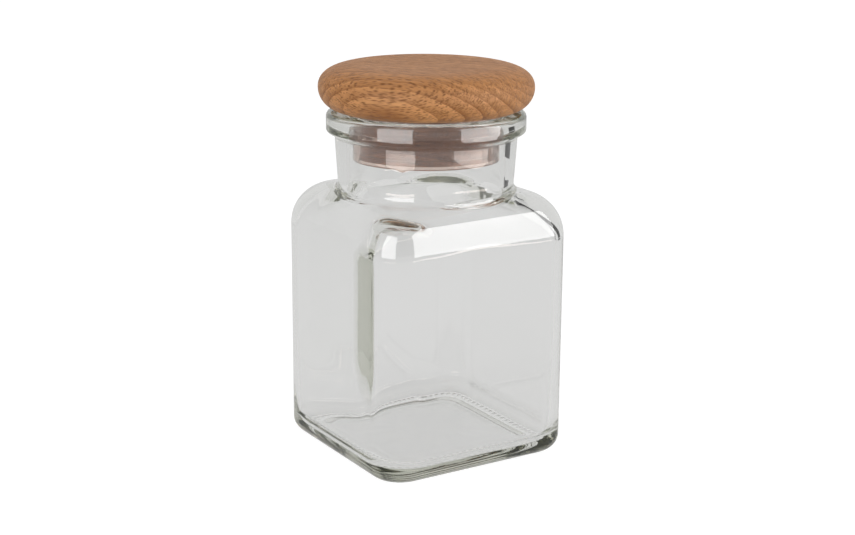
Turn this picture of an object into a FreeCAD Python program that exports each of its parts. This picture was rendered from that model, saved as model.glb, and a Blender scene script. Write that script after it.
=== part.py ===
import FreeCAD
import Part
import math
import os

# Square glass spice jar with a turned wooden lid and a clear sealing ring, in millimetres.
# The origin is the middle of the base, on the surface that the jar stands on. +Z is up, and the
# jar's flat sides face X and Y. The jar comes apart into three pieces: the moulded glass, the lid
# with its spigot, and the soft ring that sits in the spigot's groove and seals the neck.

# Glass: outside of the square body
body_width = 58.0
body_corner_radius = 9.4
heel_radius = 4.4
wall_height = 59.4
shoulder_rise = 11.4
shoulder_inset = 10.0
shoulder_corner_radius = 4.0

# Glass: the base stands on a flat band around a shallow hollow
bearing_width = 3.2
hollow_depth = 0.9
hollow_slope_width = 3.0
hollow_corner_radius = 4.0

# Glass: inside
wall_thickness = 2.8
base_thickness = 3.4
inside_corner_radius = 7.5
inside_floor_radius = 3.8
shoulder_thickness = 3.0
inside_shoulder_drop = 1.0
inside_shoulder_inset = 7.6
inside_shoulder_corner_radius = 3.6

# Glass: neck and bead
bore_radius = 20.5
neck_wall = 2.8
neck_flare = 0.85
neck_length = 14.2
neck_root_radius = 1.6
bead_chamfer_height = 1.2
bead_projection = 2.2
bead_face_height = 3.6
bead_edge_radius = 0.7
rim_round = 1.4
mouth_round = 0.8
bore_root_radius = 1.5

# Sealing ring: its flange seats on the rim, its ribs seal the bore
seal_clearance = 0.08
rib_count = 2
rib_depth = 1.25
rib_tip_height = 1.2
rib_root_height = 2.6
rib_pitch = 3.2
rib_drop = 2.4
rib_edge_round = 0.35
ring_wall = 2.0
ring_overhang = 0.85
ring_edge_round = 0.5
flange_thickness = 0.5
flange_overlap = 1.9
flange_edge_round = 0.2

# Wooden lid: a disc with a pebble edge on a grooved spigot
lid_radius = 28.4
lid_lower_height = 5.9
lid_upper_height = 5.8
lid_top_edge_inset = 11.0
lid_seat_margin = 0.2
lid_top_fullness_share = 0.95
lid_under_fullness_share = 0.71
ring_fit = 0.05
spigot_length = 11.8
spigot_lip_height = 1.4
spigot_lip_depth = 0.6
spigot_edge_round = 0.4

# Modelling
cut_overrun = 5.0
shoulder_sections = 7
fillet_limit_share = 0.95
quarter_turn = 90
full_turn = 360

# Heights that follow from the sizes above
shoulder_top = wall_height + shoulder_rise
bead_start = shoulder_top + neck_length
bead_face_start = bead_start + bead_chamfer_height
bead_face_end = bead_face_start + bead_face_height
rim_top = bead_face_end + rim_round
lid_underside = rim_top + flange_thickness
lid_widest = lid_underside + lid_lower_height
lid_top = lid_widest + lid_upper_height
spigot_bottom = lid_underside - spigot_length
spigot_lip_top = spigot_bottom + spigot_lip_height
ring_bottom = spigot_bottom - ring_overhang

# Radii that follow from the sizes above
neck_base_radius = bore_radius + neck_wall
neck_top_radius = neck_base_radius + neck_flare
neck_buried_radius = neck_base_radius - neck_flare * shoulder_rise / neck_length
bead_radius = neck_top_radius + bead_projection
rib_radius = bore_radius - seal_clearance
ring_radius = rib_radius - rib_depth
ring_inner_radius = ring_radius - ring_wall
groove_radius = ring_inner_radius - ring_fit
lip_radius = groove_radius + spigot_lip_depth
flange_radius = bore_radius + flange_overlap
lid_seat_radius = flange_radius + lid_seat_margin
lid_top_radius = lid_radius - lid_top_edge_inset

up = FreeCAD.Vector(0, 0, 1)
middle = FreeCAD.Vector(0, 0, 0)


def rounded_square(half, corner, height):
    """Closed wire of a rounded square around the axis, at a height."""
    straight = half - corner
    diagonal = straight + corner * math.sqrt(0.5)
    edges = []
    for quarter in range(4):
        turn = FreeCAD.Rotation(up, quarter * quarter_turn)
        corners = [(half, straight), (diagonal, diagonal), (straight, half), (-straight, half)]
        start, bend, end, side_end = [turn.multVec(FreeCAD.Vector(x, y, height)) for x, y in corners]
        edges.append(Part.Arc(start, bend, end).toShape())
        edges.append(Part.LineSegment(end, side_end).toShape())
    return Part.Wire(edges)


def square_prism(half, corner, low, high, floor_round):
    """Upright rounded square between two heights, with its lower edge rounded."""
    prism = Part.Face(rounded_square(half, corner, low)).extrude(up * (high - low))
    floor_edges = [edge for edge in prism.Edges if edge.BoundBox.ZMax < (low + high) / 2]
    return prism.makeFillet(min(floor_round, corner * fillet_limit_share), floor_edges)


def square_shoulder(half, corner, top_corner, inset, low, rise):
    """Shoulder that closes in over a square wall along a quarter ellipse."""
    wires = []
    for section in range(shoulder_sections):
        angle = math.pi / 2 * section / (shoulder_sections - 1)
        closed_share = 1 - math.cos(angle)
        radius = corner + (top_corner - corner) * closed_share
        wires.append(rounded_square(half - inset * closed_share, radius, low + rise * math.sin(angle)))
    return Part.makeLoft(wires, True)


def pebble_curve(start, corner, end, fullness_share):
    """Curve that leaves start and reaches end along the sides of a corner."""
    curve = Part.BezierCurve()
    curve.setPoles([start, corner, end])
    curve.setWeight(2, fullness_share)
    return curve.toShape()


def rounded_corner(before, corner, after, rounding):
    """Start, middle and end of the arc that rounds a corner between two points."""
    back = (before - corner).normalize()
    ahead = (after - corner).normalize()
    half_angle = back.getAngle(ahead) / 2
    reach = rounding / math.tan(half_angle)
    depth = rounding / math.sin(half_angle) - rounding
    bend = corner + (back + ahead).normalize() * depth
    return corner + back * reach, bend, corner + ahead * reach


def turned(outline):
    """Solid turned about Z from (radius, height) corners, each with a rounding or a fullness share.

    A corner is (radius, height), (radius, height, rounding), or (radius, height, 0, fullness share)
    where one curve runs from the corner before it to the corner after it.
    """
    points = [FreeCAD.Vector(corner[0], 0, corner[1]) for corner in outline]
    edges = []
    place = points[0]
    for index in range(1, len(outline)):
        before, corner, after = points[index - 1], points[index], points[(index + 1) % len(points)]
        if len(outline[index]) == 4:
            edges.append(pebble_curve(before, corner, after, outline[index][3]))
            place = after
        elif len(outline[index]) == 3:
            start, bend, end = rounded_corner(before, corner, after, outline[index][2])
            edges.append(Part.LineSegment(place, start).toShape())
            edges.append(Part.Arc(start, bend, end).toShape())
            place = end
        elif place != corner:
            edges.append(Part.LineSegment(place, corner).toShape())
            place = corner
    edges.append(Part.LineSegment(place, points[0]).toShape())
    return Part.Face(Part.Wire(edges)).revolve(middle, up, full_turn)


def glass_outside():
    """The jar as a full solid: square body, shoulder, neck and bead."""
    half = body_width / 2
    body = square_prism(half, body_corner_radius, 0, wall_height, heel_radius)
    shoulder = square_shoulder(
        half, body_corner_radius, shoulder_corner_radius, shoulder_inset, wall_height, shoulder_rise)
    neck = turned([
        (0, wall_height),
        (neck_buried_radius, wall_height),
        (neck_top_radius, bead_start, bead_edge_radius),
        (bead_radius, bead_face_start, bead_edge_radius),
        (bead_radius, rim_top, rim_round),
        (0, rim_top),
    ])
    jar = body.fuse(shoulder).fuse(neck).removeSplitter()
    cones = [face for face in jar.Faces if isinstance(face.Surface, Part.Cone)]
    neck_face = min(cones, key=lambda face: face.BoundBox.ZMin)
    root = [edge for edge in neck_face.Edges if edge.BoundBox.ZMax < shoulder_top + neck_length / 2]
    return jar.makeFillet(neck_root_radius, root)


def glass_inside():
    """The space in the jar, from the floor to past the mouth."""
    half = body_width / 2 - wall_thickness
    wall_end = wall_height - inside_shoulder_drop
    rise = shoulder_top - shoulder_thickness - wall_end
    room = square_prism(half, inside_corner_radius, base_thickness, wall_end, inside_floor_radius)
    shoulder = square_shoulder(
        half, inside_corner_radius, inside_shoulder_corner_radius, inside_shoulder_inset, wall_end, rise)
    bore = turned([
        (0, wall_end),
        (bore_radius, wall_end),
        (bore_radius, rim_top + cut_overrun),
        (0, rim_top + cut_overrun),
    ])
    space = room.fuse(shoulder).fuse(bore).removeSplitter()
    cylinders = [face for face in space.Faces if isinstance(face.Surface, Part.Cylinder)]
    bore_face = max(cylinders, key=lambda face: face.BoundBox.ZMax)
    root = [edge for edge in bore_face.Edges if edge.BoundBox.ZMax < shoulder_top]
    return space.makeFillet(bore_root_radius, root)


def base_hollow():
    """The shallow hollow under the base, inside the band that the jar stands on."""
    half = body_width / 2 - heel_radius - bearing_width
    low = rounded_square(half, hollow_corner_radius, 0)
    high = rounded_square(half - hollow_slope_width, hollow_corner_radius, hollow_depth)
    return Part.makeLoft([low, high], True, True)


def glass_jar():
    """The moulded glass, with the inner edge of its mouth rounded."""
    jar = glass_outside().cut(glass_inside()).cut(base_hollow())
    above_bead = [edge for edge in jar.Edges if edge.BoundBox.ZMin > bead_face_end]
    mouth = min(above_bead, key=lambda edge: edge.BoundBox.XMax)
    return jar.makeFillet(mouth_round, [mouth])


def seal_ring():
    """The clear ring: a flange on the rim, ribs in the bore and a skirt around the spigot."""
    outline = [
        (ring_inner_radius, lid_underside),
        (flange_radius, lid_underside, flange_edge_round),
        (flange_radius, rim_top, flange_edge_round),
        (ring_radius, rim_top),
    ]
    for rib in range(rib_count):
        height = rim_top - rib_drop - rib * rib_pitch
        outline += [
            (ring_radius, height + rib_root_height / 2),
            (rib_radius, height + rib_tip_height / 2, rib_edge_round),
            (rib_radius, height - rib_tip_height / 2, rib_edge_round),
            (ring_radius, height - rib_root_height / 2),
        ]
    outline += [
        (ring_radius, ring_bottom, ring_edge_round),
        (lip_radius + ring_fit, ring_bottom),
        (lip_radius + ring_fit, spigot_lip_top + ring_fit),
        (ring_inner_radius, spigot_lip_top + ring_fit),
    ]
    return turned(outline)


def wooden_lid():
    """The turned lid, with the disc and the spigot in one piece of wood."""
    return turned([
        (0, spigot_bottom),
        (lip_radius, spigot_bottom, spigot_edge_round),
        (lip_radius, spigot_lip_top),
        (groove_radius, spigot_lip_top),
        (groove_radius, lid_underside),
        (lid_seat_radius, lid_underside),
        (lid_radius, lid_underside, 0, lid_under_fullness_share),
        (lid_radius, lid_widest),
        (lid_radius, lid_top, 0, lid_top_fullness_share),
        (lid_top_radius, lid_top),
        (0, lid_top),
    ])


os.makedirs("parts", exist_ok=True)
glass_jar().exportStep("parts/glass_jar.step")
seal_ring().exportStep("parts/seal_ring.step")
wooden_lid().exportStep("parts/wooden_lid.step")
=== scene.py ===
"""Dresses the spice jar in moulded glass, milky silicone and turned beech, in a plain white studio."""
import logging
import math
from dataclasses import dataclass, field
from enum import Enum

import bmesh
import bpy
from mathutils import Matrix, Vector, noise


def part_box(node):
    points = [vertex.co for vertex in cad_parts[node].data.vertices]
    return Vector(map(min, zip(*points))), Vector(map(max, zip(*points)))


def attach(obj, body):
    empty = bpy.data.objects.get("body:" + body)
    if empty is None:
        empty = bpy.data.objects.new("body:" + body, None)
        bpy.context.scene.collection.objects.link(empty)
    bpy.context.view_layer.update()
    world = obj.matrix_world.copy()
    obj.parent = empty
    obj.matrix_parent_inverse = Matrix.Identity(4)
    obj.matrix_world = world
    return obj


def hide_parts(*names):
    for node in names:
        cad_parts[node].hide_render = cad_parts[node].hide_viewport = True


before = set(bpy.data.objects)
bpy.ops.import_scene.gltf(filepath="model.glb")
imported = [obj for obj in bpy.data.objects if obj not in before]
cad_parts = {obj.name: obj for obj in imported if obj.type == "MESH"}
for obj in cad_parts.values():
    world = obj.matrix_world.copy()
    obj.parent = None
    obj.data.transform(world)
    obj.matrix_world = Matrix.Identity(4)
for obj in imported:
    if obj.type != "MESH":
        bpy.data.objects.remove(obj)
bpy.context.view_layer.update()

log = logging.getLogger("spice_jar")

MM = 0.001
PICTURE_WIDTH = 855

# Small lengths in millimetres: the least rounding, the least run, and what counts as one point or as flat.
SHARP = 1e-3
SHORTEST = 1e-9
MERGED = 1e-4
FLAT = 1e-6

# A point of a profile is (distance from the axis, height), in millimetres.
Point = tuple[float, float]

# A span is a low and a high value, and a colour is linear red, green, blue and alpha.
Span = tuple[float, float]
Colour = tuple[float, float, float, float]

Socket = bpy.types.NodeSocket
Ring = list[bmesh.types.BMVert]


class Body(Enum):
    """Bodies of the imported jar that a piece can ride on."""

    JAR = "jar"
    SEAL = "seal"
    LID = "lid"


class Slot(Enum):
    """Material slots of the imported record."""

    GLASS = "glass"
    SEAL = "seal"
    WOOD = "wood"


class LampUse(Enum):
    """What one lamp of a soft box is for."""

    FOOT = "foot"
    SHINE = "shine"
    LIGHT = "light"


def node_box(node: str) -> tuple[Vector, Vector]:
    """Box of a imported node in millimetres.

    Args:
        node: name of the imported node.

    Returns:
        Lowest and highest corner.
    """
    low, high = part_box(node)
    return low / MM, high / MM


def grey(level: float) -> Colour:
    """Plain grey of a brightness."""
    return (level, level, level, 1)


def ease(value: float, low: float, high: float) -> float:
    """Smooth step from 0 at a low value to 1 at a high one."""
    share = min(max((value - low) / (high - low), 0.0), 1.0)
    return share * share * (3 - 2 * share)


def line(start: Point, end: Point, steps: int) -> list[Point]:
    """Points along a straight run.

    Args:
        start: where the run starts, which isn't repeated.
        end: where the run ends, which is the last point.
        steps: number of points.

    Returns:
        The points after the start.
    """
    return [
        (start[0] + (end[0] - start[0]) * i / steps, start[1] + (end[1] - start[1]) * i / steps)
        for i in range(1, steps + 1)
    ]


def arc(centre: Point, radius: float, begin: float, end: float, steps: int) -> list[Point]:
    """Points along a circular arc.

    Args:
        centre: middle of the circle.
        radius: radius of the circle.
        begin: angle where the arc begins, in radians. Its point isn't repeated.
        end: angle where the arc ends, in radians.
        steps: number of points.

    Returns:
        The points after the beginning.
    """
    angles = [begin + (end - begin) * i / steps for i in range(1, steps + 1)]
    return [(centre[0] + radius * math.cos(a), centre[1] + radius * math.sin(a)) for a in angles]


def rounded_path(corners: list[tuple[float, float, float]], run_steps: int, bend_steps: int) -> list[Point]:
    """Open path through corners, each rounded by its own radius.

    Args:
        corners: (distance from the axis, height, rounding) of each corner. The two ends stay sharp.
        run_steps: points on each straight run.
        bend_steps: points on each rounded corner.

    Returns:
        The path's points, with the first corner.
    """
    path = [corners[0][:2]]
    for before, corner, after in zip(corners, corners[1:], corners[2:]):
        middle = Vector(corner[:2])
        back = (Vector(before[:2]) - middle).normalized()
        ahead = (Vector(after[:2]) - middle).normalized()
        half_angle = back.angle(ahead) / 2
        rounding = max(corner[2], SHARP)
        centre = middle + (back + ahead).normalized() * (rounding / math.sin(half_angle))
        first = middle + back * (rounding / math.tan(half_angle)) - centre
        last = middle + ahead * (rounding / math.tan(half_angle)) - centre
        begin = math.atan2(first.y, first.x)
        turn = math.remainder(math.atan2(last.y, last.x) - begin, math.tau)
        path += line(path[-1], tuple(centre + first), run_steps)
        path += arc(tuple(centre), rounding, begin, begin + turn, bend_steps)
    return path + line(path[-1], corners[-1][:2], run_steps)


def pebble_curve(start: Point, corner: Point, end: Point, fullness: float, steps: int) -> list[Point]:
    """Curve that leaves one point and reaches another along the sides of a corner.

    Args:
        start: where the curve starts, which isn't repeated.
        corner: corner that the curve bends around.
        end: where the curve ends.
        fullness: how far the curve goes into the corner. About 0.7 is an ellipse.
        steps: number of points.

    Returns:
        The points after the start.
    """
    points = []
    for step in range(1, steps + 1):
        t = step / steps
        weights = ((1 - t) ** 2, 2 * fullness * t * (1 - t), t * t)
        total = sum(weights)
        points.append(tuple(
            sum(w * p[axis] for w, p in zip(weights, (start, corner, end))) / total for axis in (0, 1)))
    return points


def even_points(path: list[Point], steps: int) -> list[Point]:
    """Points evenly spaced along a path, without its first one.

    Args:
        path: points of the path.
        steps: number of points.

    Returns:
        The evenly spaced points, ending with the path's last one.
    """
    reach = [0.0]
    for a, b in zip(path, path[1:]):
        reach.append(reach[-1] + math.dist(a, b))
    points = []
    index = 0
    for step in range(1, steps + 1):
        wanted = reach[-1] * step / steps
        while index < len(path) - 2 and reach[index + 1] < wanted:
            index += 1
        span = max(reach[index + 1] - reach[index], SHORTEST)
        share = min((wanted - reach[index]) / span, 1.0)
        a, b = path[index], path[index + 1]
        points.append((a[0] + (b[0] - a[0]) * share, a[1] + (b[1] - a[1]) * share))
    return points


def root_points(shoulder: list[Point], wall_radius: float, rounding: float, run_steps: int,
                bend_steps: int) -> list[Point]:
    """Runs along a shoulder and turns into an upright round wall with a rounded root.

    Args:
        shoulder: points of the shoulder, towards the axis.
        wall_radius: radius of the upright wall.
        rounding: radius of the root.
        run_steps: points on the shoulder.
        bend_steps: points on the root.

    Returns:
        The points after the shoulder's first one.
    """
    run = [shoulder[0]]
    for a, b in zip(shoulder, shoulder[1:]):
        tangent = (Vector(b) - Vector(a)).normalized()
        normal = Vector((tangent.y, -tangent.x))
        centre = Vector(b) + normal * rounding
        run.append(b)
        if centre.x <= wall_radius + rounding:
            break
    centre.x = wall_radius + rounding
    begin = math.atan2(-normal.y, -normal.x) % math.tau
    return even_points(run, run_steps) + arc(tuple(centre), rounding, begin, math.pi, bend_steps)


def finish_mesh(bm: bmesh.types.BMesh, name: str) -> bpy.types.Object:
    """Turns a bmesh in millimetres into a smooth object in metres.

    Args:
        bm: the finished bmesh, which is freed.
        name: name of the piece.

    Returns:
        The new object, linked to the scene.
    """
    bmesh.ops.scale(bm, vec=(MM, MM, MM), verts=bm.verts)
    mesh = bpy.data.meshes.new(name)
    bm.to_mesh(mesh)
    bm.free()
    mesh.shade_smooth()
    piece = bpy.data.objects.new(name, mesh)
    bpy.context.scene.collection.objects.link(piece)
    return piece


def turned_mesh(profile: list[Point], steps: int) -> bmesh.types.BMesh:
    """Turns a profile about the upright axis, as on a lathe.

    Args:
        profile: points of the profile, in order. Ends on the axis become closed poles.
        steps: number of steps in the full turn.

    Returns:
        The turned bmesh, with its faces pointing outwards.
    """
    bm = bmesh.new()
    verts = [bm.verts.new((r, 0, z)) for r, z in profile]
    edges = [bm.edges.new(pair) for pair in zip(verts, verts[1:])]
    bmesh.ops.spin(
        bm, geom=verts + edges, axis=(0, 0, 1), cent=(0, 0, 0), angle=math.tau, steps=steps, use_merge=True)
    bmesh.ops.remove_doubles(bm, verts=bm.verts, dist=MERGED)
    bmesh.ops.recalc_face_normals(bm, faces=bm.faces)
    return bm


class NodeBench:
    """Lays out shader nodes in a material, a world or a node group."""

    def __init__(self, tree: bpy.types.NodeTree) -> None:
        """Starts with an empty tree."""
        self.tree = tree
        tree.nodes.clear()

    def add(self, kind: str, settings: dict | None = None, **inputs: object) -> bpy.types.Node:
        """Adds a node.

        Args:
            kind: the node's type, without its ShaderNode prefix.
            settings: properties of the node itself.
            inputs: values or output sockets for its inputs, with _ for each space in their names.

        Returns:
            The new node.
        """
        prefix = "" if kind.startswith("NodeGroup") else "ShaderNode"
        node = self.tree.nodes.new(prefix + kind)
        for key, value in (settings or {}).items():
            setattr(node, key, value)
        for key, value in inputs.items():
            self.feed(node.inputs[key.replace("_", " ")], value)
        return node

    def feed(self, socket: Socket, value: object) -> None:
        """Links an output to a socket, or sets the socket's own value."""
        if isinstance(value, Socket):
            self.tree.links.new(value, socket)
        else:
            socket.default_value = value

    def math(self, operation: str, first: object, second: object = 0.0) -> Socket:
        """Adds a Math node.

        Args:
            operation: the node's operation.
            first: its first value or socket.
            second: its second value or socket.

        Returns:
            The node's output.
        """
        node = self.add("Math", {"operation": operation})
        self.feed(node.inputs[0], first)
        self.feed(node.inputs[1], second)
        return node.outputs[0]

    def span(self, value: object, low: float, high: float, to_low: float, to_high: float) -> Socket:
        """Adds a Map Range node.

        Args:
            value: value or socket to map.
            low: value that becomes to_low.
            high: value that becomes to_high.
            to_low: lowest result.
            to_high: highest result.

        Returns:
            The node's output.
        """
        node = self.add(
            "MapRange", Value=value, From_Min=low, From_Max=high, To_Min=to_low, To_Max=to_high)
        return node.outputs["Result"]

    def mix(self, share: object, first: object, second: object) -> Socket:
        """Adds a colour Mix node.

        Args:
            share: how much of the second colour shows.
            first: first colour or socket.
            second: second colour or socket.

        Returns:
            The mixed colour.
        """
        node = self.add("Mix", {"data_type": "RGBA"})
        self.feed(node.inputs["Factor"], share)
        self.feed(node.inputs[6], first)
        self.feed(node.inputs[7], second)
        return node.outputs[2]


def new_material(name: str) -> tuple[bpy.types.Material, NodeBench]:
    """Makes an empty node material.

    Args:
        name: name of the material.

    Returns:
        The material and the bench for its nodes.
    """
    material = bpy.data.materials.new(name)
    material.use_nodes = True
    return material, NodeBench(material.node_tree)


def uneven_group() -> bpy.types.NodeTree:
    """Node group for the slight unevenness of a moulded or hand-finished surface.

    Returns:
        The group, with a Height for bumps and a Haze between 0 and 1.
    """
    name = "uneven_surface"
    haze_span = (0.45, 0.75)
    if name in bpy.data.node_groups:
        return bpy.data.node_groups[name]
    group = bpy.data.node_groups.new(name, "ShaderNodeTree")
    bench = NodeBench(group)
    for socket, value in (("Waves", 60.0), ("Smudges", 35.0)):
        item = group.interface.new_socket(socket, in_out="INPUT", socket_type="NodeSocketFloat")
        item.default_value = value
    for socket in ("Height", "Haze"):
        group.interface.new_socket(socket, in_out="OUTPUT", socket_type="NodeSocketFloat")
    inside = bench.add("NodeGroupInput")
    place = bench.add("TexCoord").outputs["Object"]
    waves = bench.add("TexNoise", Vector=place, Scale=inside.outputs["Waves"], Detail=1.5, Roughness=0.4)
    smudges = bench.add("TexNoise", Vector=place, Scale=inside.outputs["Smudges"], Detail=4.0, Roughness=0.6)
    haze = bench.span(smudges.outputs[0], *haze_span, 0.0, 1.0)
    bench.add("NodeGroupOutput", Height=waves.outputs[0], Haze=haze)
    return group


@dataclass(frozen=True)
class ClearFinish:
    """A see-through finish: moulded glass or milky silicone."""

    name: str
    tint: Colour
    ior: float
    clear_roughness: float
    hazy_roughness: float
    wave_scale: float
    wave_height: float
    absorbs: Colour
    density: float
    clearness: float = 1.0

    def material(self) -> bpy.types.Material:
        """Makes the finish's material.

        Returns:
            The material.
        """
        material, bench = new_material(self.name)
        uneven = bench.add("Group", {"node_tree": uneven_group()}, Waves=self.wave_scale)
        roughness = bench.span(uneven.outputs["Haze"], 0.0, 1.0, self.clear_roughness, self.hazy_roughness)
        bump = bench.add("Bump", Height=uneven.outputs["Height"], Strength=1.0, Distance=self.wave_height)
        shader = bench.add(
            "BsdfPrincipled", Base_Color=self.tint, Roughness=roughness, IOR=self.ior,
            Transmission_Weight=self.clearness, Normal=bump.outputs[0])
        volume = bench.add("VolumeAbsorption", Color=self.absorbs, Density=self.density)
        bench.add("OutputMaterial", Surface=shader.outputs[0], Volume=volume.outputs[0])
        return material


@dataclass(frozen=True)
class BeechFinish:
    """Fine sanded beech with growth layers, pores and ray flecks, in metres."""

    name: str = "oiled_beech"
    grain_turn: float = math.radians(54.9)
    pith_height: float = 0.1306
    pith_side: float = 0.0093
    layer_start: float = 0.0374
    layer_step: float = 0.00242
    layer_bend: float = 0.7
    layer_curve: float = 1.8
    layer_strength: Span = (0.6, 1.0)
    # Distances from the pith over which the layers fade in, and how much of them shows closest to it.
    pith_fade_span: Span = (0.0272, 0.032)
    pith_fade_share: float = 0.25
    # Painted sheen: heights over which the layers fade on the lid's top, standing in for the sheen seen at a
    # glancing view, and the share of them kept there.
    painted_sheen_heights: Span = (0.0965, 0.102)
    painted_sheen_share: float = 0.35
    mean_layer: float = 0.33
    ray_scale: tuple[float, float, float] = (420, 3200, 650)
    ray_fade: Span = (0.42, 0.1)
    ray_depth: float = 0.85
    pore_scale: tuple[float, float, float] = (300, 2600, 2600)
    pore_fade: Span = (0.45, 0.12)
    pore_depth: float = 0.75
    fibre_scale: tuple[float, float, float] = (45, 800, 800)
    fibre_span: Span = (0.3, 0.7)
    fibre_depth: float = 0.6
    pale: Colour = (0.73, 0.355, 0.136, 1)
    deep: Colour = (0.27, 0.1, 0.03, 1)
    fleck: Colour = (0.16, 0.058, 0.018, 1)
    roughness: Span = (0.5, 0.68)
    roughness_span: Span = (0.2, 0.8)
    gloss: float = 0.15
    sheen: float = 0.14
    grain_height: float = 0.00012

    def material(self) -> bpy.types.Material:
        """Makes the beech material.

        Returns:
            The material.
        """
        material, bench = new_material(self.name)
        place = bench.add("TexCoord").outputs["Object"]
        log_place = bench.add("Mapping", Vector=place, Rotation=(0, 0, self.grain_turn)).outputs[0]
        ring_place = self.ring_place(bench, log_place)
        rays = self.flecks(bench, ring_place, self.ray_scale, *self.ray_fade)
        pores = self.flecks(bench, log_place, self.pore_scale, *self.pore_fade)
        fibres = self.fibres(bench, log_place)
        tone = bench.mix(self.growth_layers(bench, ring_place, log_place), self.pale, self.deep)
        tone = bench.mix(bench.span(fibres, *self.fibre_span, 0.0, self.fibre_depth), tone, self.deep)
        tone = bench.mix(bench.math("MULTIPLY", pores, self.pore_depth), tone, self.fleck)
        colour = bench.mix(bench.math("MULTIPLY", rays, self.ray_depth), tone, self.fleck)
        roughness = bench.span(fibres, *self.roughness_span, *self.roughness)
        relief = bench.math("SUBTRACT", fibres, bench.math("MAXIMUM", rays, pores))
        bump = bench.add("Bump", Height=relief, Strength=0.6, Distance=self.grain_height)
        shader = bench.add(
            "BsdfPrincipled", Base_Color=colour, Roughness=roughness, Normal=bump.outputs[0],
            Specular_IOR_Level=self.gloss, Sheen_Weight=self.sheen, Sheen_Roughness=0.35)
        bench.add("OutputMaterial", Surface=shader.outputs[0])
        return material

    def ring_place(self, bench: NodeBench, place: Socket) -> Socket:
        """Place in the log as it grew: along the grain, round the pith and out from the pith.

        Args:
            bench: bench of the material.
            place: place in the log, with the grain along X.

        Returns:
            The place, in metres.
        """
        apart = bench.add("SeparateXYZ", Vector=place)
        side = bench.math("SUBTRACT", apart.outputs["Y"], self.pith_side)
        drop = bench.math("SUBTRACT", self.pith_height, apart.outputs["Z"])
        outwards = bench.math("SQRT", bench.math(
            "ADD", bench.math("MULTIPLY", side, side), bench.math("MULTIPLY", drop, drop)))
        around = bench.math("MULTIPLY", bench.math("ARCTAN2", side, drop), self.layer_start)
        return bench.add("CombineXYZ", X=apart.outputs["X"], Y=around, Z=outwards).outputs[0]

    def growth_layers(self, bench: NodeBench, ring_place: Socket, log_place: Socket) -> Socket:
        """Growth layers around the pith, fainter close to the pith and on the lid's top. The fading on the
        top is painted sheen: it stands in for the sheen that washes the grain out at a glancing view.

        Args:
            bench: bench of the material.
            ring_place: place as the log grew.
            log_place: place in the log, with Z up.

        Returns:
            A value from 0 in early wood to 1 at the end of each year.
        """
        bend = bench.add("TexNoise", Vector=ring_place, Scale=90.0, Detail=4.0, Roughness=0.55).outputs[0]
        outwards = bench.add("SeparateXYZ", Vector=ring_place).outputs["Z"]
        years = bench.math("DIVIDE", bench.math("SUBTRACT", outwards, self.layer_start), self.layer_step)
        bend = bench.math("MULTIPLY", bench.math("SUBTRACT", bend, 0.5), self.layer_bend)
        years = bench.math("ADD", years, bend)
        late = bench.math("POWER", bench.math("FRACT", years), self.layer_curve)
        year = bench.math("FLOOR", years)
        chance = bench.add("TexWhiteNoise", {"noise_dimensions": "1D"}, W=year).outputs[0]
        strength = bench.span(chance, 0.0, 1.0, *self.layer_strength)
        pith_faded = bench.span(outwards, *self.pith_fade_span, self.pith_fade_share, 1.0)
        shown = bench.math("MULTIPLY", strength, pith_faded)
        # Painted sheen: on the lid's top the layers fade towards their mean, standing in for the sheen that
        # washes out the grain at a glancing view.
        height = bench.add("SeparateXYZ", Vector=log_place).outputs["Z"]
        painted_sheen_kept = bench.span(height, *self.painted_sheen_heights, 1.0, self.painted_sheen_share)
        above_mean = bench.math("SUBTRACT", bench.math("MULTIPLY", late, shown), self.mean_layer)
        return bench.math("ADD", bench.math("MULTIPLY", above_mean, painted_sheen_kept), self.mean_layer)

    def flecks(self, bench: NodeBench, place: Socket, scale: tuple[float, float, float],
               edge: float, core: float) -> Socket:
        """Short dark marks: pores along the grain, or rays out from the pith.

        Args:
            bench: bench of the material.
            place: place in the log.
            scale: marks per metre in each direction.
            edge: share of a mark's cell where it fades out.
            core: share of the cell where it is darkest.

        Returns:
            A value that is 1 in the middle of a mark.
        """
        stretched = bench.add("Mapping", Vector=place, Scale=scale).outputs[0]
        cells = bench.add("TexVoronoi", {"feature": "F1"}, Vector=stretched, Scale=1.0, Randomness=1.0)
        return bench.span(cells.outputs["Distance"], edge, core, 0.0, 1.0)

    def fibres(self, bench: NodeBench, place: Socket) -> Socket:
        """Fine streaks of lighter and darker fibre along the grain.

        Args:
            bench: bench of the material.
            place: place in the log, with the grain along X.

        Returns:
            A value around one half.
        """
        stretched = bench.add("Mapping", Vector=place, Scale=self.fibre_scale).outputs[0]
        return bench.add("TexNoise", Vector=stretched, Scale=1.0, Detail=5.0, Roughness=0.65).outputs[0]


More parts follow.
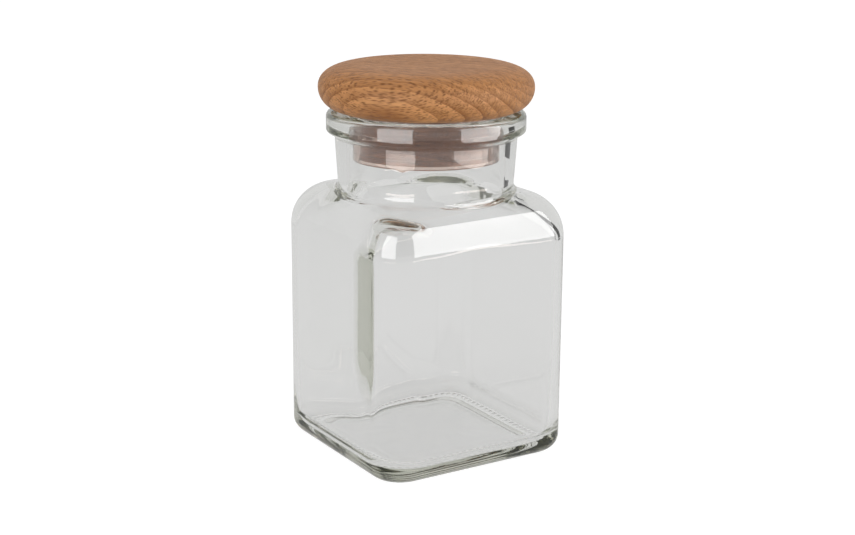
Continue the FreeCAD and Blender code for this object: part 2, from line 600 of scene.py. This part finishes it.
@dataclass(frozen=True)
class SquarePlan:
    """A rounded square seen from above."""

    half: float
    corner: float

    def reach(self, angle: float) -> float:
        """Distance from the axis to the outline in a direction.

        Args:
            angle: direction, in radians from +X.

        Returns:
            The distance.
        """
        folded = abs(math.remainder(angle, math.pi / 2))
        straight = self.half - self.corner
        if self.half * math.tan(folded) <= straight:
            return self.half / math.cos(folded)
        along = straight * (math.cos(folded) + math.sin(folded))
        aside = 2 * straight * straight - along * along
        return along + math.sqrt(max(self.corner * self.corner - aside, 0.0))

    def inset(self, depth: float, corner: float) -> "SquarePlan":
        """The plan drawn in by a depth, with another corner radius."""
        return SquarePlan(self.half - depth, min(corner, self.half - depth))

    def directions(self, side_steps: int, corner_steps: int) -> list[float]:
        """Directions to evenly spaced points along the sides and round the corners.

        Args:
            side_steps: points along each side.
            corner_steps: points round each corner.

        Returns:
            Directions in radians, once round.
        """
        straight = self.half - self.corner
        quarter = []
        for step in range(side_steps):
            quarter.append(math.atan2(straight * (2 * step / side_steps - 1), self.half))
        for step in range(corner_steps):
            turn = math.pi / 2 * step / corner_steps
            quarter.append(math.atan2(
                straight + self.corner * math.sin(turn), straight + self.corner * math.cos(turn)))
        return [angle + math.pi / 2 * index for index in range(4) for angle in quarter]


@dataclass
class GlassJar:
    """The moulded glass jar, in millimetres, with the uneven inside that moulded glass has."""

    node: str = "glass_jar"
    # Outside of the body
    corner: float = 9.4
    heel: float = 4.4
    wall_top: float = 59.4
    shoulder_rise: float = 11.4
    shoulder_inset: float = 10.0
    shoulder_corner: float = 4.0
    # Neck, bead and mouth
    neck_radius: float = 23.3
    neck_top_radius: float = 24.15
    neck_root: float = 1.6
    bead_start: float = 85.0
    bead_face_start: float = 86.2
    bead_radius: float = 26.35
    bead_edge: float = 0.7
    rim_round: float = 1.4
    mouth_round: float = 0.8
    bore_radius: float = 20.5
    bore_root: float = 2.0
    # Inside, with a ceiling under the shoulder that sags at one corner
    wall: float = 2.0
    inside_corner: float = 7.4
    inside_wall_top: float = 58.4
    ceiling_rise: float = 10.4
    ceiling_radius: float = 22.4
    ceiling_turn: float = 66.0
    corner_sag: float = 1.6
    sag_turn: float = math.radians(-135)
    sag_reach: float = 26.9
    sag_width: float = 2.4
    sag_spread: float = 0.28
    floor_height: float = 3.4
    floor_round: float = 3.8
    floor_corner: float = 9.0
    floor_corner_share: float = 0.5
    floor_easing: float = 0.6
    floor_shares: tuple[float, ...] = (0.92, 0.82, 0.7, 0.55, 0.4, 0.25, 0.1, 0.02)
    # Extra glass on the sides that face +X, +Y, -X and -Y, and where along and up a side it lies
    swells: tuple[float, ...] = (0.0, 0.0, 1.2, 0.0)
    swell_start: Span = (-1.4, -0.7)
    swell_end: Span = (0.45, 1.15)
    swell_lean: float = 0.05
    swell_low: Span = (12.0, 30.0)
    swell_high: Span = (66.0, 71.0)
    # Underside of the base
    band_inner: float = 21.4
    band_outer: float = 24.6
    hollow_depth: float = 0.9
    hollow_slope: float = 3.0
    hollow_shares: tuple[float, ...] = (0.02, 0.25, 0.5, 0.75)
    band_shares: tuple[float, ...] = (0.28, 0.72, 1.0)
    notch_depth: float = 0.45
    notch_edge: float = 0.22
    # Steps of the mesh
    side_steps: int = 30
    corner_steps: int = 14
    slope_steps: int = 8
    round_steps: int = 10
    wall_steps: int = 26
    room_steps: int = 28
    curve_steps: int = 60
    level_steps: int = 30
    shoulder_steps: tuple[int, int] = (18, 7)
    ceiling_steps: tuple[int, int] = (26, 6)
    neck_steps: tuple[int, int] = (7, 6)
    # Unevenness
    outside_give: float = 0.05
    inside_give: float = 0.12
    wave_length: float = 19.0
    finish: ClearFinish = field(default_factory=lambda: ClearFinish(
        name="clear_moulded_glass", tint=(1.0, 1.0, 1.0, 1), ior=1.52, clear_roughness=0.0,
        hazy_roughness=0.02, wave_scale=70.0, wave_height=0.00004, absorbs=(0.5, 0.52, 0.38, 1),
        density=17.0))

    def build(self) -> bpy.types.Object:
        """Builds, dresses and places the glass.

        Returns:
            The glass piece.
        """
        _, high = node_box(self.node)
        plan = SquarePlan(high.x, self.corner)
        angles = plan.directions(self.side_steps, self.corner_steps)
        columns = [self.section(plan, high.z, angle) for angle in angles]
        bm = bmesh.new()
        rings = self.stack_rings(bm, angles, columns)
        bmesh.ops.recalc_face_normals(bm, faces=bm.faces)
        self.settle(bm, rings, [give for _, _, give in columns[0]])
        self.notch_band(bm, rings)
        piece = finish_mesh(bm, "jar_glass")
        piece.data.materials.append(self.finish.material())
        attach(piece, Body.JAR.value)
        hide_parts(self.node)
        return piece

    def section(self, plan: SquarePlan, rim: float, angle: float) -> list[tuple[float, float, float]]:
        """Profile of the glass in one direction, from under the base, over the rim, to the inner floor.

        Args:
            plan: outside of the square body.
            rim: height of the rim.
            angle: direction from the axis.

        Returns:
            (distance from the axis, height, how far the glass may sink there) of each point.
        """
        outside = self.base_points(plan, angle) + self.wall_points(plan, angle)
        shoulder = self.shoulder_points(plan, angle)
        outside += root_points(shoulder, self.neck_radius, self.neck_root, *self.shoulder_steps)
        room = plan.inset(self.wall, self.inside_corner)
        ceiling = [
            (reach - self.side_swell(room, angle, height), height)
            for reach, height in self.ceiling_points(room, angle)]
        upwards = root_points(ceiling, self.bore_radius, self.bore_root, *self.ceiling_steps)
        neck = rounded_path([
            (*outside[-1], 0),
            (self.neck_top_radius, self.bead_start, self.bead_edge),
            (self.bead_radius, self.bead_face_start, self.bead_edge),
            (self.bead_radius, rim, self.rim_round),
            (self.bore_radius, rim, self.mouth_round),
            (*upwards[-1], 0),
        ], *self.neck_steps)[1:]
        inside = upwards[-2::-1] + self.room_points(room, angle)
        gives = [self.outside_give] * len(outside) + [0.0] * len(neck) + [self.inside_give] * len(inside)
        return [(r, z, give) for (r, z), give in zip(outside + neck + inside, gives)]

    def base_points(self, plan: SquarePlan, angle: float) -> list[Point]:
        """Underside of the base: hollow, band and heel.

        Args:
            plan: outside of the square body.
            angle: direction from the axis.

        Returns:
            Points from near the axis to the top of the heel.
        """
        points = []
        flat = self.band_inner - self.hollow_slope
        for share in self.hollow_shares:
            points.append((SquarePlan(flat * share, flat * share / 2).reach(angle), self.hollow_depth))
        inner_corner = self.corner / 2
        for step in range(self.slope_steps + 1):
            share = step / self.slope_steps
            half = flat + self.hollow_slope * share
            drop = (1 + math.cos(math.pi * share)) / 2
            points.append((SquarePlan(half, inner_corner).reach(angle), self.hollow_depth * drop))
        width = self.band_outer - self.band_inner
        for share in self.band_shares:
            corner = inner_corner + (self.corner - self.heel - inner_corner) * share
            points.append((SquarePlan(self.band_inner + width * share, corner).reach(angle), 0.0))
        for step in range(1, self.round_steps + 1):
            turn = math.pi / 2 * step / self.round_steps
            depth = self.heel * (1 - math.sin(turn))
            height = self.heel * (1 - math.cos(turn))
            points.append((plan.inset(depth, plan.corner - depth).reach(angle), height))
        return points

    def wall_points(self, plan: SquarePlan, angle: float) -> list[Point]:
        """Straight outside wall, from the heel to the shoulder."""
        reach = plan.reach(angle)
        return line((reach, self.heel), (reach, self.wall_top), self.wall_steps)

    def shoulder_points(self, plan: SquarePlan, angle: float) -> list[Point]:
        """Shoulder that closes in along a quarter ellipse, and then flat towards the axis.

        Args:
            plan: outside of the square body.
            angle: direction from the axis.

        Returns:
            Points from the wall's end towards the axis.
        """
        points = []
        for step in range(self.curve_steps + 1):
            turn = math.pi / 2 * step / self.curve_steps
            closed = 1 - math.cos(turn)
            radius = plan.corner + (self.shoulder_corner - plan.corner) * closed
            reach = plan.inset(self.shoulder_inset * closed, radius).reach(angle)
            points.append((reach, self.wall_top + self.shoulder_rise * math.sin(turn)))
        end = (points[-1][0] / 2, self.wall_top + self.shoulder_rise)
        return points + line(points[-1], end, self.level_steps)

    def ceiling_points(self, room: SquarePlan, angle: float) -> list[Point]:
        """Inside of the shoulder, which goes from the square room to the round neck.

        Args:
            room: plan of the inside.
            angle: direction from the axis.

        Returns:
            Points from the inside wall's end towards the axis, with a straight run at the end.
        """
        last = math.radians(self.ceiling_turn)
        wall_reach = room.reach(angle)
        off_corner = math.remainder(angle - self.sag_turn, math.tau) / self.sag_spread
        points = []
        for step in range(self.curve_steps + 1):
            turn = last * step / self.curve_steps
            closed = (1 - math.cos(turn)) / (1 - math.cos(last))
            raised = math.sin(turn) / math.sin(last)
            reach = wall_reach + (self.ceiling_radius - wall_reach) * closed
            off_middle = (reach - self.sag_reach) / self.sag_width
            sag = self.corner_sag * math.exp(-off_middle * off_middle - off_corner * off_corner)
            points.append((reach, self.inside_wall_top + self.ceiling_rise * raised - sag))
        slope = (points[-1][1] - points[-2][1]) / (points[-1][0] - points[-2][0])
        end = (self.ceiling_radius / 2, points[-1][1] - slope * self.ceiling_radius / 2)
        return points + line(points[-1], end, self.level_steps)

    def room_points(self, room: SquarePlan, angle: float) -> list[Point]:
        """Inside wall and floor, from the ceiling down to near the axis.

        Args:
            room: plan of the inside.
            angle: direction from the axis.

        Returns:
            Points down the wall, round the floor's edge and in to the axis.
        """
        floor_edge = self.floor_height + self.floor_round
        points = []
        for step in range(self.room_steps + 1):
            share = step / self.room_steps
            easing = max(0.0, share * (1 + self.floor_easing) - self.floor_easing) ** 2
            corner = room.corner + (self.floor_corner - room.corner) * easing * self.floor_corner_share
            height = self.inside_wall_top + (floor_edge - self.inside_wall_top) * share
            reach = SquarePlan(room.half, corner).reach(angle) - self.side_swell(room, angle, height)
            points.append((reach, height))
        middle_corner = room.corner + (self.floor_corner - room.corner) * self.floor_corner_share
        for step in range(1, self.round_steps + 1):
            turn = math.pi / 2 * step / self.round_steps
            depth = self.floor_round * (1 - math.cos(turn))
            corner = middle_corner + (self.floor_corner - middle_corner) * math.sin(turn)
            plan = room.inset(depth, corner)
            points.append((plan.reach(angle), floor_edge - self.floor_round * math.sin(turn)))
        last = room.half - self.floor_round
        for share in self.floor_shares:
            plan = SquarePlan(last * share, min(self.floor_corner, last) * share)
            points.append((plan.reach(angle), self.floor_height))
        return points

    def side_swell(self, room: SquarePlan, angle: float, height: float) -> float:
        """How far the middle of a side is thicker than its ends, where the glass was stretched less.

        Args:
            room: plan of the inside.
            angle: direction from the axis.
            height: height on the wall.

        Returns:
            The extra thickness, measured towards the axis.
        """
        folded = math.remainder(angle, math.pi / 2)
        along = room.half * math.tan(folded) / (room.half - room.corner)
        lean = self.swell_lean * max(0.0, height - self.inside_wall_top)
        side = ease(along, *self.swell_start) - ease(along - lean, *self.swell_end)
        rise = ease(height, *self.swell_low) - ease(height, *self.swell_high)
        swell = self.swells[round(angle / (math.pi / 2)) % len(self.swells)]
        return swell * side * rise / math.cos(folded)

    def stack_rings(self, bm: bmesh.types.BMesh, angles: list[float],
                    columns: list[list[tuple[float, float, float]]]) -> list[Ring]:
        """Extrudes ring after ring through the sections and closes both ends.

        Args:
            bm: bmesh to build in.
            angles: direction of each section.
            columns: section in each direction.

        Returns:
            The vertices of each ring, in the order of the sections.
        """
        circle = bmesh.ops.create_circle(bm, cap_ends=False, radius=1.0, segments=len(angles))["verts"]
        ring = sorted(circle, key=lambda vert: math.atan2(vert.co.y, vert.co.x) % math.tau)
        rings = [ring]
        for _ in columns[0][1:]:
            edges = [bm.edges.get((a, b)) for a, b in zip(ring, ring[1:] + ring[:1])]
            made = set(bmesh.ops.extrude_edge_only(bm, edges=edges)["geom"])
            ring = [next(e.other_vert(v) for e in v.link_edges if e.other_vert(v) in made) for v in ring]
            rings.append(ring)
        for index, ring in enumerate(rings):
            for vert, angle, column in zip(ring, angles, columns):
                reach, height, _ = column[index]
                vert.co = (reach * math.cos(angle), reach * math.sin(angle), height)
        for ring in (rings[0], rings[-1]):
            bmesh.ops.contextual_create(bm, geom=ring)
        return rings

    def settle(self, bm: bmesh.types.BMesh, rings: list[Ring], gives: list[float]) -> None:
        """Sinks the surface a little here and there, as glass sets unevenly in its mould.

        The underside and the heel stay as they are.

        Args:
            bm: the jar's bmesh.
            rings: the jar's rings.
            gives: how far each ring may sink.
        """
        bm.normal_update()
        moves = []
        for ring, give in zip(rings, gives):
            for vert in ring:
                depth = give * (0.5 + 0.5 * noise.noise(vert.co / self.wave_length))
                moves.append((vert, vert.normal * depth))
        for vert, move in moves:
            if vert.co.z > self.heel or move.length > self.outside_give:
                vert.co -= move

    def notch_band(self, bm: bmesh.types.BMesh, rings: list[Ring]) -> None:
        """Presses the row of small notches into the band that the jar stands on.

        Args:
            bm: the jar's bmesh.
            rings: the jar's rings.
        """
        band = [ring for ring in rings if abs(ring[0].co.z) < FLAT]
        inner, outer = set(band[1]), set(band[2])
        faces = [f for f in {f for v in inner for f in v.link_faces} if len(inner & set(f.verts)) == 2
                 and len(outer & set(f.verts)) == 2]
        faces.sort(key=lambda f: math.atan2(f.calc_center_median().y, f.calc_center_median().x))
        bmesh.ops.inset_individual(
            bm, faces=faces[::2], thickness=self.notch_edge, depth=-self.notch_depth, use_even_offset=True)


@dataclass
class SealRing:
    """The milky ring around the spigot, in millimetres."""

    node: str = "seal_ring"
    ring_radius: float = 19.17
    rib_radius: float = 20.42
    rib_tip: float = 1.2
    rib_root: float = 2.6
    rib_pitch: float = 3.2
    rib_drop: float = 2.4
    rib_edge: float = 0.35
    rib_count: int = 2
    inner_radius: float = 17.17
    lip_radius: float = 17.77
    lip_top: float = 81.35
    flange_thickness: float = 0.5
    flange_round: float = 0.2
    foot_round: float = 0.5
    rib_root_round: float = 0.1
    groove_round: float = 0.05
    nib_angle: float = math.radians(-140)
    nib_drop: float = 0.7
    nib_width: float = 0.9
    clearance: float = 0.02
    steps: int = 160
    profile_steps: tuple[int, int] = (3, 4)
    finish: ClearFinish = field(default_factory=lambda: ClearFinish(
        name="milky_silicone", tint=(0.95, 0.77, 0.69, 1), ior=1.41, clear_roughness=0.08,
        hazy_roughness=0.2, wave_scale=160.0, wave_height=0.00003, absorbs=(0.8, 0.75, 0.7, 1),
        density=15.0, clearness=0.84))

    def build(self) -> bpy.types.Object:
        """Builds, dresses and places the ring.

        Returns:
            The ring piece.
        """
        bm = turned_mesh(self.profile(), self.steps)
        self.pull_nib(bm)
        piece = finish_mesh(bm, "clear_ring")
        piece.data.materials.append(self.finish.material())
        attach(piece, Body.SEAL.value)
        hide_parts(self.node)
        return piece

    def profile(self) -> list[Point]:
        """Closed profile of the ring.

        Returns:
            The points, with the first one repeated at the end.
        """
        low, high = node_box(self.node)
        top = high.z - self.clearance
        seat = high.z - self.flange_thickness + self.clearance
        corners = [
            (self.inner_radius, top, 0.0),
            (high.x, top, self.flange_round),
            (high.x, seat, self.flange_round),
            (self.ring_radius, seat, self.rib_root_round),
        ]
        for rib in range(self.rib_count):
            middle = seat - self.rib_drop - rib * self.rib_pitch
            corners += [
                (self.ring_radius, middle + self.rib_root / 2, self.rib_root_round),
                (self.rib_radius, middle + self.rib_tip / 2, self.rib_edge),
                (self.rib_radius, middle - self.rib_tip / 2, self.rib_edge),
                (self.ring_radius, middle - self.rib_root / 2, self.rib_root_round),
            ]
        corners += [
            (self.ring_radius, low.z, self.foot_round),
            (self.lip_radius, low.z, self.rib_root_round),
            (self.lip_radius, self.lip_top, self.groove_round),
            (self.inner_radius, self.lip_top, self.groove_round),
            (self.inner_radius, top, 0.0),
        ]
        return rounded_path(corners, *self.profile_steps)

    def pull_nib(self, bm: bmesh.types.BMesh) -> None:
        """Pulls down the small nib that moulding leaves on the ring's foot.

        Args:
            bm: the ring's bmesh.
        """
        low = min(vert.co.z for vert in bm.verts)
        middle = (self.ring_radius + self.lip_radius) / 2
        tip = Vector((middle * math.cos(self.nib_angle), middle * math.sin(self.nib_angle)))
        for vert in bm.verts:
            if vert.co.z < low + self.foot_round:
                away = (vert.co.xy - tip).length / self.nib_width
                vert.co.z -= self.nib_drop * math.exp(-away * away)


@dataclass
class WoodenLid:
    """The turned beech lid with its grooved spigot, in millimetres."""

    node: str = "wooden_lid"
    underside: float = 91.7
    widest: float = 97.6
    seat_radius: float = 22.6
    top_inset: float = 11.0
    top_fullness: float = 0.95
    under_fullness: float = 0.71
    groove_radius: float = 17.12
    lip_radius: float = 17.72
    lip_height: float = 1.4
    edge_round: float = 0.4
    steps: int = 192
    spigot_steps: tuple[int, int] = (5, 4)
    under_steps: int = 18
    edge_steps: int = 26
    top_steps: int = 10
    finish: BeechFinish = field(default_factory=BeechFinish)

    def build(self) -> bpy.types.Object:
        """Builds, dresses and places the lid.

        Returns:
            The lid piece.
        """
        piece = finish_mesh(turned_mesh(self.profile(), self.steps), "beech_lid")
        piece.data.materials.append(self.finish.material())
        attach(piece, Body.LID.value)
        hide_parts(self.node)
        return piece

    def profile(self) -> list[Point]:
        """Profile of the lid from the axis under the spigot to the axis on top.

        Returns:
            The points.
        """
        low, high = node_box(self.node)
        lip_top = low.z + self.lip_height
        points = rounded_path([
            (0.0, low.z, 0.0),
            (self.lip_radius, low.z, self.edge_round),
            (self.lip_radius, lip_top, self.edge_round / 4),
            (self.groove_radius, lip_top, self.edge_round / 8),
            (self.groove_radius, self.underside, self.edge_round / 4),
            (self.seat_radius, self.underside, 0.0),
        ], *self.spigot_steps)
        widest = (high.x, self.widest)
        low_corner = (high.x, self.underside)
        points += pebble_curve(points[-1], low_corner, widest, self.under_fullness, self.under_steps)
        top_edge = (high.x - self.top_inset, high.z)
        high_corner = (high.x, high.z)
        points += pebble_curve(widest, high_corner, top_edge, self.top_fullness, self.edge_steps)
        return points + line(top_edge, (0.0, high.z), self.top_steps)


@dataclass(frozen=True)
class SoftBox:
    """A soft box that stands beside the jar, in metres."""

    name: str
    turn: float
    width: float
    light: float
    distance: float = 0.3
    span: Span = (0.03, 0.38)
    shine: float = 6.5
    foot_span: Span = (0.042, 0.062)
    foot_shine: float = 5.7
    foot_tint: tuple[float, float, float] = (1.0, 0.9, 0.85)
    gap: float = 0.004

    def hang(self, camera_turn: float) -> None:
        """Hangs the box as lamps for reflections, for matte surfaces and for what shows through the glass.

        Args:
            camera_turn: direction of the camera seen from the jar, in radians from +X.
        """
        lamps = (
            (LampUse.FOOT, self.foot_span, self.foot_shine),
            (LampUse.SHINE, self.span, self.shine),
            (LampUse.LIGHT, self.span, self.light),
        )
        for index, (use, span, radiance) in enumerate(lamps):
            self.hang_lamp(use, camera_turn + self.turn, self.distance + index * self.gap, span, radiance)

    def hang_lamp(self, use: LampUse, turn: float, distance: float, span: Span, radiance: float) -> None:
        """Hangs one lamp.

        Args:
            use: what the lamp is for.
            turn: direction of the lamp seen from the jar, in radians from +X.
            distance: how far the lamp is from the jar.
            span: heights of the lamp's lower and upper edge.
            radiance: how bright the lamp looks.
        """
        low, high = span
        middle = (low + high) / 2
        place = Vector((math.cos(turn) * distance, math.sin(turn) * distance, middle))
        facing = (Vector((0, 0, middle)) - place).to_track_quat("-Z", "Y").to_matrix().to_4x4()
        lamp = bpy.data.lights.new(f"{self.name}_{use.value}", "AREA")
        lamp.shape = "RECTANGLE"
        lamp.size, lamp.size_y = self.width, high - low
        lamp.energy = radiance * math.pi * lamp.size * lamp.size_y
        if use is LampUse.FOOT:
            lamp.color = self.foot_tint
        box = bpy.data.objects.new(lamp.name, lamp)
        box.matrix_world = Matrix.Translation(place) @ facing
        box.visible_camera = False
        box.visible_diffuse = use is LampUse.LIGHT
        box.visible_glossy = use is LampUse.SHINE
        box.visible_transmission = use is LampUse.FOOT
        bpy.context.scene.collection.objects.link(box)


@dataclass(frozen=True)
class DarkFlag:
    """Dark cards behind the jar that draw dark lines in the edges of clear glass, in metres."""

    turn: float = math.radians(46.0)
    distance: float = 0.3
    width: float = 0.08
    spans: tuple[Span, ...] = ((0.017, 0.044), (0.055, 0.3))
    tone: float = 0.02

    def hang(self, away_turn: float) -> None:
        """Hangs the cards upright, where only light that comes through the glass meets them.

        Args:
            away_turn: direction that the camera looks in, in radians from +X.
        """
        turn = away_turn - self.turn
        upright = Matrix.Rotation(turn - math.pi / 2, 4, "Z") @ Matrix.Rotation(math.pi / 2, 4, "X")
        place = Vector((math.cos(turn), math.sin(turn), 0)) * self.distance
        bm = bmesh.new()
        for low, high in self.spans:
            verts = bmesh.ops.create_grid(bm, x_segments=1, y_segments=1, size=0.5)["verts"]
            bmesh.ops.scale(bm, vec=(self.width / MM, (high - low) / MM, 1), verts=verts)
            place.z = (low + high) / 2
            bmesh.ops.transform(bm, matrix=Matrix.Translation(place / MM) @ upright, verts=verts)
        cards = finish_mesh(bm, "dark_flag")
        material, bench = new_material("black_card")
        paper = bench.add("BsdfDiffuse", Color=grey(self.tone))
        bench.add("OutputMaterial", Surface=paper.outputs[0])
        cards.data.materials.append(material)
        cards.visible_camera = False
        cards.visible_diffuse = False
        cards.visible_glossy = False
        cards.visible_shadow = False


@dataclass
class Studio:
    """Floor, lights, background and camera, in metres and radians."""

    view_turn: float = math.radians(32.09)
    view_height: float = math.radians(14.07)
    view_roll: float = math.radians(0.374)
    distance: float = 0.4408
    focal_pixels: float = 1646.3
    centre_rise_pixels: float = 26.75
    aim_side: float = 0.00055
    aim_height: float = 0.0558
    sensor_width: float = 36.0
    near_clip: float = 0.01
    floor_half: float = 12.0
    floor_tone: float = 0.9
    floor_share: float = 0.75
    floor_white: float = 1.24
    seen_level: float = 0.73
    zenith_level: float = 0.6
    zenith_span: Span = (0.15, 1.0)
    room_level: float = 0.12
    room_span: Span = (0.05, 0.35)
    light_bounces: int = 64
    world_light: float = 0.4
    overhead_light: float = 1.02
    overhead_size: float = 0.6
    overhead_height: float = 0.8
    soft_boxes: tuple[SoftBox, ...] = (
        SoftBox("left_box", turn=math.radians(-34.5), width=0.22, light=1.5),
        SoftBox("right_box", turn=math.radians(64.0), width=0.29, light=1.25),
    )
    flag: DarkFlag = DarkFlag()

    def build(self) -> None:
        """Builds the whole studio."""
        self.set_floor()
        self.set_world()
        for box in self.soft_boxes:
            box.hang(-math.pi / 2 - self.view_turn)
        self.flag.hang(math.pi / 2 - self.view_turn)
        self.set_overhead()
        self.set_camera()
        self.let_light_through()

    def let_light_through(self) -> None:
        """Keeps colours plain, and lets light bounce often enough to find its way out of thick glass."""
        scene = bpy.context.scene
        scene.view_settings.view_transform = "Standard"
        scene.cycles.max_bounces = self.light_bounces
        scene.cycles.glossy_bounces = self.light_bounces
        scene.cycles.transmission_bounces = self.light_bounces

    def set_floor(self) -> None:
        """Lays the white floor, which glows white to the camera and still takes a shadow."""
        material, bench = new_material("white_floor")
        path = bench.add("LightPath")
        seen = bench.math("SUBTRACT", 1.0, path.outputs["Is Diffuse Ray"])
        white = bench.span(path.outputs["Is Camera Ray"], 0.0, 1.0, self.seen_level, self.floor_white)
        painted = bench.add("BsdfDiffuse", Color=grey(self.floor_tone))
        glow = bench.add("Emission", Color=grey(1), Strength=white)
        mixed = bench.add("MixShader")
        bench.feed(mixed.inputs[0], bench.math("MULTIPLY", seen, self.floor_share))
        bench.feed(mixed.inputs[1], painted.outputs[0])
        bench.feed(mixed.inputs[2], glow.outputs[0])
        bench.add("OutputMaterial", Surface=mixed.outputs[0])
        bm = bmesh.new()
        bmesh.ops.create_grid(bm, x_segments=1, y_segments=1, size=self.floor_half / MM)
        floor = finish_mesh(bm, "studio_floor")
        floor.data.materials.append(material)

    def set_world(self) -> None:
        """Sets a background that is white to the camera, grey through glass and dark in its reflections."""
        world = bpy.data.worlds.new("white_studio")
        world.use_nodes = True
        bench = NodeBench(world.node_tree)
        path = bench.add("LightPath")
        heading = bench.add("TexCoord").outputs["Generated"]
        height = bench.add("SeparateXYZ", Vector=heading).outputs["Z"]
        through = bench.span(height, *self.zenith_span, self.seen_level, self.zenith_level)
        towards = bench.add("VectorMath", {"operation": "DOT_PRODUCT"})
        bench.feed(towards.inputs[0], heading)
        bench.feed(towards.inputs[1], (-math.sin(self.view_turn), -math.cos(self.view_turn), 0))
        camera_side = bench.span(towards.outputs["Value"], *self.room_span, 0.0, 1.0)
        room = bench.math("MULTIPLY", path.outputs["Is Glossy Ray"], camera_side)
        through = bench.mix(room, through, grey(self.room_level))
        lit = bench.mix(path.outputs["Is Diffuse Ray"], through, grey(self.world_light))
        shown = bench.mix(path.outputs["Is Camera Ray"], lit, grey(1))
        background = bench.add("Background", Color=shown, Strength=1.0)
        bench.add("OutputWorld", Surface=background.outputs[0])
        bpy.context.scene.world = world

    def set_overhead(self) -> None:
        """Hangs a wide lamp over the jar for the matte surfaces."""
        lamp = bpy.data.lights.new("overhead", "AREA")
        lamp.size = self.overhead_size
        lamp.energy = self.overhead_light * math.pi * lamp.size * lamp.size
        box = bpy.data.objects.new("overhead", lamp)
        box.location = (0, 0, self.overhead_height)
        box.visible_camera = False
        box.visible_glossy = False
        box.visible_transmission = False
        bpy.context.scene.collection.objects.link(box)

    def set_camera(self) -> None:
        """Sets the camera where the photograph was taken from."""
        data = bpy.data.cameras.new("photograph_view")
        data.sensor_width = self.sensor_width
        data.lens = self.focal_pixels * self.sensor_width / PICTURE_WIDTH
        data.shift_y = -self.centre_rise_pixels / PICTURE_WIDTH
        data.clip_start = self.near_clip
        sine, cosine = math.sin(self.view_turn), math.cos(self.view_turn)
        aim = Vector((self.aim_side * cosine, -self.aim_side * sine, self.aim_height))
        level = math.cos(self.view_height)
        back = Vector((-sine * level, -cosine * level, math.sin(self.view_height)))
        turn = (-back).to_track_quat("-Z", "Y").to_matrix().to_4x4()
        camera = bpy.data.objects.new("photograph_view", data)
        camera.matrix_world = (
            Matrix.Translation(aim + back * self.distance) @ turn @ Matrix.Rotation(self.view_roll, 4, "Z"))
        bpy.context.scene.collection.objects.link(camera)
        bpy.context.scene.camera = camera


def main() -> None:
    """Builds the jar's pieces in order, then the studio."""
    logging.basicConfig(level=logging.INFO, format="%(message)s")
    for assembly in (GlassJar(), SealRing(), WoodenLid()):
        piece = assembly.build()
        log.info("%s: %d faces", piece.name, len(piece.data.polygons))
    Studio().build()


if __name__ == "__main__":
    main()
